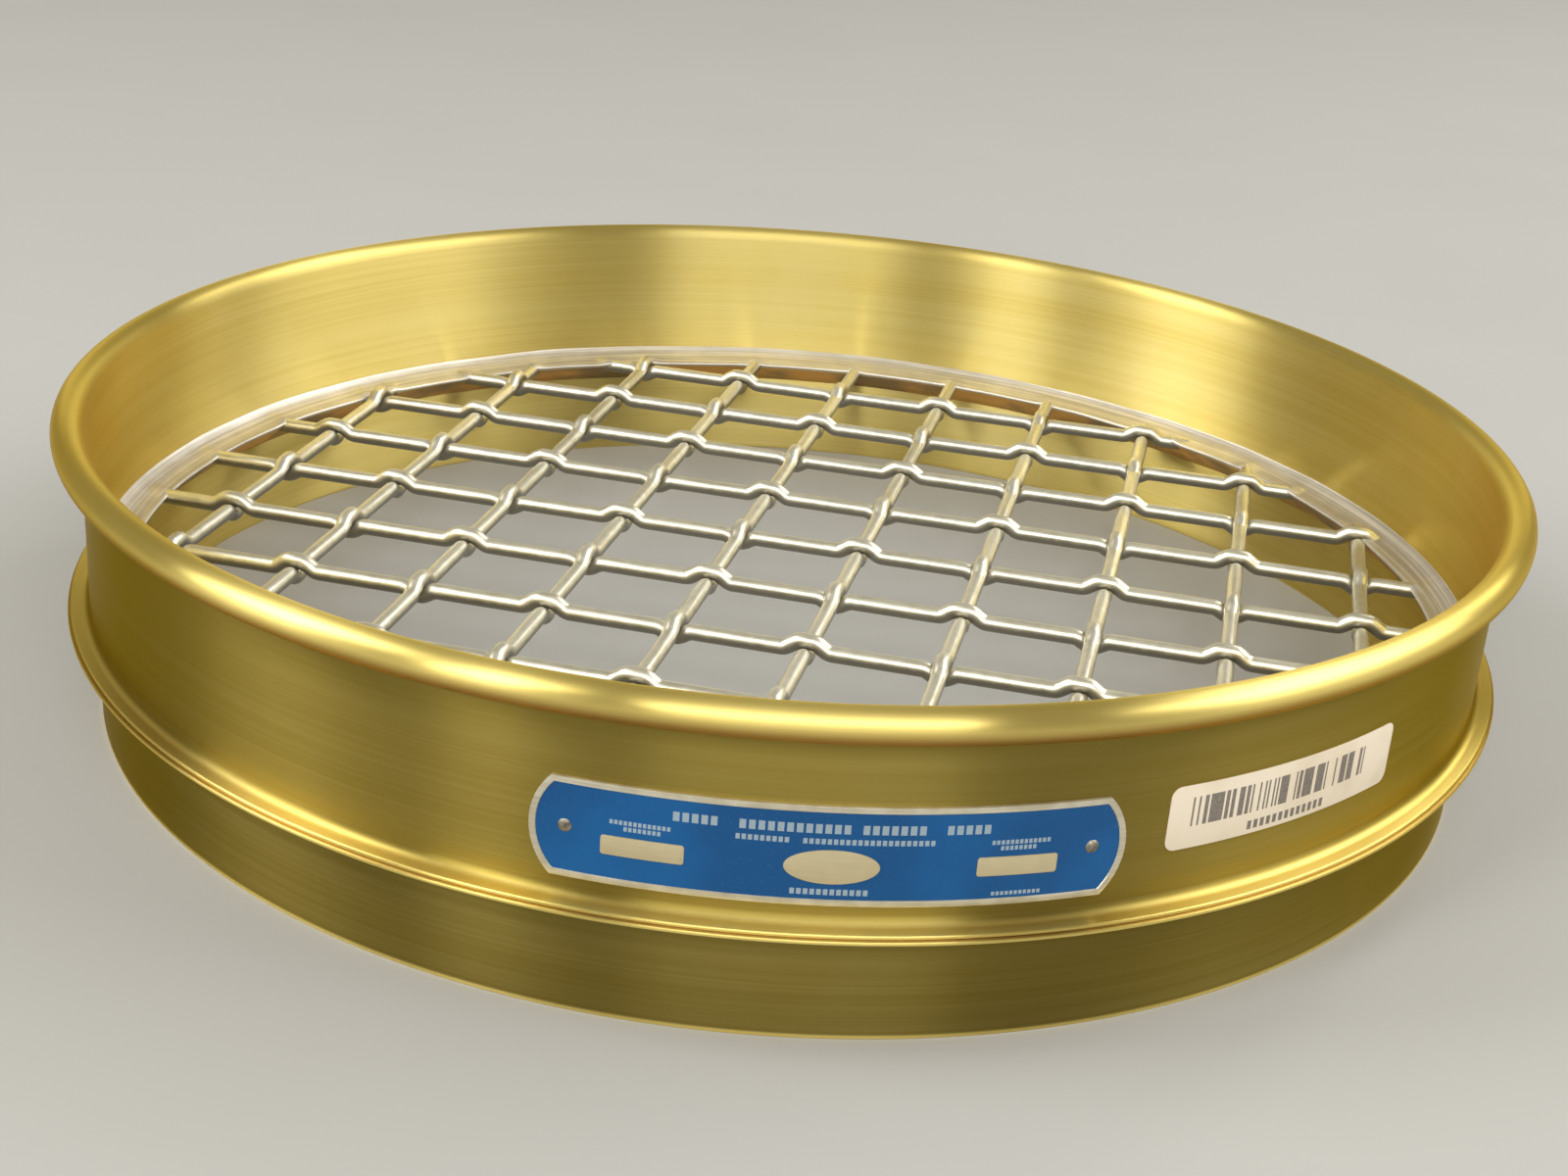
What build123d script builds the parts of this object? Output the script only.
from build123d import *
import math
import os

# Half-height test sieve: 12 inch brass frame, cloth with 25 mm square openings.
# +Z is the axis of the round frame, the skirt stands on z = 0, and the nameplate
# is on the -Y side. Every piece is its own solid, and all lengths are millimetres.

# ---- driving dimensions: frame and skirt ---------------------------------------
INNER_R = 152.4             # inside of the frame, 12 inches across
SHEET = 0.8                 # brass sheet of the frame and the skirt
HEIGHT = 65.2               # from the skirt's edge to the top of the rolled rim
BEAD_R = 3.3                # outside radius of the rolled rim
CURL_GAP = 0.15             # between the rim's cut edge and the wall
SEAM_Z = 23.1               # where the frame's flange lies on the skirt's flange
COVE_R = 2.0                # bend from the wall out into the frame's flange
FRAME_FLANGE_R = 157.1      # edge of the frame's flange
SKIRT_FLANGE_R = 157.7      # edge of the skirt's flange
EDGE_BREAK = 0.35           # both flanges' upper edges are dressed off
SKIRT_R = 151.8             # outside of the skirt, which drops into the next frame
SKIRT_BEND_R = 0.8          # bend from the skirt out into its flange

# ---- driving dimensions: woven cloth -------------------------------------------
WIRE_D = 3.55
OPENING = 25.0              # clear width of a square opening
WIRES = 10                  # wires each way
WIRE_FLATS = 8              # a wire is drawn with this many flats, to keep it light
CLOTH_R = 151.0             # the cloth is cut to a disc
CLOTH_TURN = -11.3          # degrees about +Z
CLOTH_SHIFT = (0.8, -5.7)   # the middle of the weave, off the frame's axis
CREST = 1.2                 # half of the level stretch where one wire crosses another
CRIMP_SLOPE = 24.0          # how steeply a wire climbs to it, degrees
CUT_ALLOWANCE = 6.0         # a wire is woven this much longer than it is cut
SHORTEST_END = 1.2          # a bend nearer to the wire's end than this is left out

# ---- driving dimensions: solder ------------------------------------------------
SOLDER_TOP_Z = 31.6         # upper edge, on the frame's wall
LIP_R, LIP_Z, LIP_T = 145.3, 27.5, 0.8
SOLDER_HOLLOW = 0.8         # how far the sloping upper face is hollowed
SOLDER_FOOT_Z = 21.0        # lower edge, on the inside of the skirt
SOLDER_CREEP = 0.5          # how far it runs into the joint under the wall

# ---- driving dimensions: nameplate, its pins, and the label --------------------
PLATE_L, PLATE_H, PLATE_T = 101.4, 18.6, 0.6
PLATE_Z, PLATE_TURN = 36.7, 4.05   # its middle: height, and degrees from -Y
PLATE_BULGE = 3.8           # how far each rounded end stands out
PLATE_RIM = 1.1             # width of the raised border
FIELD_DEPTH = 0.15          # the coloured field lies this far below the border
WINDOW_L, WINDOW_H, WINDOW_SPAN = 14.0, 3.6, 62.4
OVAL_L, OVAL_H = 15.9, 6.4
PANEL_DROP = 1.95           # windows and oval sit below the plate's middle
PIN_SPAN, PIN_RISE = 88.8, 0.3
PIN_HEAD_R, PIN_HEAD_TOP_R, PIN_HEAD_H = 1.2, 0.7, 0.5
PIN_R, PIN_SEAT = 0.7, 0.45  # shank, and how far it enters the wall

LABEL_L, LABEL_H, LABEL_T, LABEL_CORNER_R = 56.4, 12.3, 0.12, 2.0
LABEL_Z, LABEL_TURN = 39.6, 36.65

# ---- derived values ------------------------------------------------------------
WALL_R = INNER_R + SHEET
WIRE_R = WIRE_D / 2
PITCH = OPENING + WIRE_D
CLOTH_Z = SEAM_Z + WIRE_D   # the lowest crimps rest at the height of the seam
FOOT = CREST + WIRE_R / math.tan(math.radians(CRIMP_SLOPE))


# ---- rings: a section is drawn flat, with X the radius and Y the height --------
def ring(section):
    """Spins a section about the frame's axis into one solid."""
    return revolve(Plane.XZ * section, Axis.Z, 360).solid()


def break_edge(section, radius, height):
    """Takes the sharp edge off the section's corner nearest to a point."""
    corner = section.vertices().sort_by_distance(Vector(radius, height, 0))[0]
    return chamfer(corner, EDGE_BREAK)


def frame_section():
    """Rolled rim, wall, and a flange turned out at the foot of the wall."""
    middle_r = INNER_R + SHEET / 2
    curl_end = math.degrees(math.acos((BEAD_R - SHEET - CURL_GAP) / BEAD_R))
    curl = CenterArc((INNER_R + BEAD_R, HEIGHT - BEAD_R), BEAD_R - SHEET / 2, 180, curl_end - 360)
    bend_r = COVE_R + SHEET / 2
    bend = CenterArc((middle_r + bend_r, SEAM_Z + SHEET / 2 + bend_r), bend_r, 180, 90)
    wall = Line(curl @ 0, bend @ 0)
    flange = Line(bend @ 1, (FRAME_FLANGE_R, SEAM_Z + SHEET / 2))
    section = trace([curl, wall, bend, flange], SHEET)
    return break_edge(section, FRAME_FLANGE_R, SEAM_Z + SHEET)


def skirt_section():
    """A plain ring whose upper edge is turned out under the frame's flange."""
    middle_r = SKIRT_R - SHEET / 2
    bend_r = SKIRT_BEND_R + SHEET / 2
    bend = CenterArc((middle_r + bend_r, SEAM_Z - SHEET / 2 - bend_r), bend_r, 90, 90)
    wall = Line((middle_r, 0), bend @ 1)
    flange = Line(bend @ 0, (SKIRT_FLANGE_R, SEAM_Z - SHEET / 2))
    section = trace([wall, bend, flange], SHEET)
    return break_edge(section, SKIRT_FLANGE_R, SEAM_Z)


def solder_section(brass):
    """The fillet that fills the corner between frame, skirt and cloth."""
    foot_r = SKIRT_R - SHEET
    reach_r = INNER_R + SOLDER_CREEP
    top, lip = Vector(INNER_R, SOLDER_TOP_Z), Vector(LIP_R, LIP_Z)
    across = (lip - top).normalized()
    hollow = (top + lip) / 2 + Vector(-across.Y, across.X) * SOLDER_HOLLOW
    outline = Polyline(top, hollow, lip, (LIP_R, LIP_Z - LIP_T), (foot_r, SOLDER_FOOT_Z),
                       (reach_r, SOLDER_FOOT_Z), (reach_r, SOLDER_TOP_Z), close=True)
    return (make_face(outline) - brass).faces().sort_by(SortBy.AREA)[-1]


# ---- cloth: crimped wires, woven one over and one under ------------------------
def crimp_line(reach, crossings):
    """A wire's middle line, as (distance along it, height) points from -reach to reach.

    crossings holds (distance along it, side), with side 1 over and -1 under.
    """
    line = []
    for place, side in crossings:
        for step, height in ((-FOOT, 0), (-CREST, WIRE_R), (CREST, WIRE_R), (FOOT, 0)):
            line.append((place + step, side * height))

    def height_at(distance):
        for (x0, z0), (x1, z1) in zip(line, line[1:]):
            if x0 <= distance <= x1:
                return z0 + (z1 - z0) * (distance - x0) / (x1 - x0)
        return 0

    inner = [point for point in line if abs(point[0]) < reach - SHORTEST_END]
    return [(-reach, height_at(-reach)), *inner, (reach, height_at(reach))]


def wire(offset_x, crossings):
    """A crimped wire along Y, at offset_x from the frame's axis, cut to the disc."""
    reach = math.sqrt(CLOTH_R**2 - offset_x**2) + CUT_ALLOWANCE
    path = Polyline(*[(offset_x, y, CLOTH_Z + z) for y, z in crimp_line(reach, crossings)])
    start = Plane(origin=path @ 0, x_dir=(1, 0, 0), z_dir=path % 0)
    section = RegularPolygon(WIRE_R, WIRE_FLATS, major_radius=False, rotation=180 / WIRE_FLATS)
    woven = sweep(start * section, path=path, transition=Transition.RIGHT)
    disc = Pos(0, 0, CLOTH_Z) * Cylinder(CLOTH_R, 3 * WIRE_D)
    return (woven & disc).solid()


def cloth():
    """Warp wires run along the weave's Y, and weft wires along its X."""
    middle = (WIRES - 1) / 2
    columns = [(i - middle) * PITCH + CLOTH_SHIFT[0] for i in range(WIRES)]
    rows = [(j - middle) * PITCH + CLOTH_SHIFT[1] for j in range(WIRES)]
    weave = {}
    for i, x in enumerate(columns):
        crossings = [(y, -1 if (i + j) % 2 == 0 else 1) for j, y in enumerate(rows)]
        weave[f"warp_wire_{i + 1:02d}"] = Rot(0, 0, CLOTH_TURN) * wire(x, crossings)
    for j, y in enumerate(rows):
        crossings = [(-x, 1 if (i + j) % 2 == 0 else -1) for i, x in enumerate(columns)]
        weave[f"weft_wire_{j + 1:02d}"] = Rot(0, 0, CLOTH_TURN + 90) * wire(y, crossings[::-1])
    return weave


# ---- what is fixed on the outside of the wall ----------------------------------
def on_wall(turn, height):
    """A place on the wall: X runs round it, Y up, and Z straight out."""
    return Rot(0, 0, turn) * Pos(0, -WALL_R, height) * Plane.XZ.location


def chord(arc):
    """The straight width of a length measured round the wall."""
    return WALL_R * math.sin(arc / WALL_R)


def wrapped(outline, turn, height, inner, outer):
    """A flat outline laid round the wall, between two distances off the wall."""
    deep = WALL_R / 4
    prism = on_wall(turn, height) * Pos(0, 0, -deep) * extrude(outline, deep + 2 * outer)
    shell = Cylinder(WALL_R + outer, 2 * HEIGHT) - Cylinder(WALL_R + inner, 2 * HEIGHT)
    return prism & shell


def plate_outline(inset):
    corner_x, corner_y = chord(PLATE_L / 2 - PLATE_BULGE), PLATE_H / 2
    tip_x = chord(PLATE_L / 2)
    sides = []
    for side in (1, -1):
        tip = (side * tip_x, 0)
        sides.append(ThreePointArc((side * corner_x, corner_y), tip, (side * corner_x, -corner_y)))
        sides.append(Line((-corner_x, side * corner_y), (corner_x, side * corner_y)))
    outline = make_face(sides)
    return offset(outline, -inset, kind=Kind.INTERSECTION) if inset else outline


def drive_pins():
    """Two headed pins through the plate's ends into the wall."""
    shank_l = PIN_SEAT + PLATE_T - FIELD_DEPTH
    shank = Pos(0, 0, shank_l / 2 - PIN_SEAT) * Cylinder(PIN_R, shank_l)
    head_z = PLATE_T - FIELD_DEPTH + PIN_HEAD_H / 2
    head = Pos(0, 0, head_z) * Cone(PIN_HEAD_R, PIN_HEAD_TOP_R, PIN_HEAD_H)
    step = math.degrees(PIN_SPAN / 2 / WALL_R)
    places = [on_wall(PLATE_TURN + side * step, PLATE_Z + PIN_RISE) for side in (-1, 1)]
    return [place * (shank + head) for place in places]


def nameplate(pins):
    """A curved plate whose border, two windows and oval stand above a field."""
    blank = wrapped(plate_outline(0), PLATE_TURN, PLATE_Z, 0, PLATE_T)
    field = plate_outline(PLATE_RIM) - Pos(0, -PANEL_DROP) * Ellipse(OVAL_L / 2, OVAL_H / 2)
    for side in (-1, 1):
        window = RectangleRounded(WINDOW_L, WINDOW_H, PLATE_RIM / 2)
        field -= Pos(side * chord(WINDOW_SPAN / 2), -PANEL_DROP) * window
    blank -= wrapped(field, PLATE_TURN, PLATE_Z, PLATE_T - FIELD_DEPTH, 2 * PLATE_T)
    return blank - pins


def label():
    outline = RectangleRounded(LABEL_L, LABEL_H, LABEL_CORNER_R)
    return wrapped(outline, LABEL_TURN, LABEL_Z, 0, LABEL_T)


# ---- build ---------------------------------------------------------------------
frame_flat, skirt_flat = frame_section(), skirt_section()
pins = drive_pins()
parts = cloth()
parts["solder_ring"] = ring(solder_section([frame_flat, skirt_flat])) - list(parts.values())
parts["upper_frame"] = ring(frame_flat) - pins
parts["skirt"] = ring(skirt_flat)
parts["nameplate"] = nameplate(pins)
parts["plate_pins"] = Compound(children=pins)
parts["paper_label"] = label()

os.makedirs("parts", exist_ok=True)
for name, part in parts.items():
    export_step(part, f"parts/{name}.step")
    print(name, len(part.solids()), round(part.volume, 1))
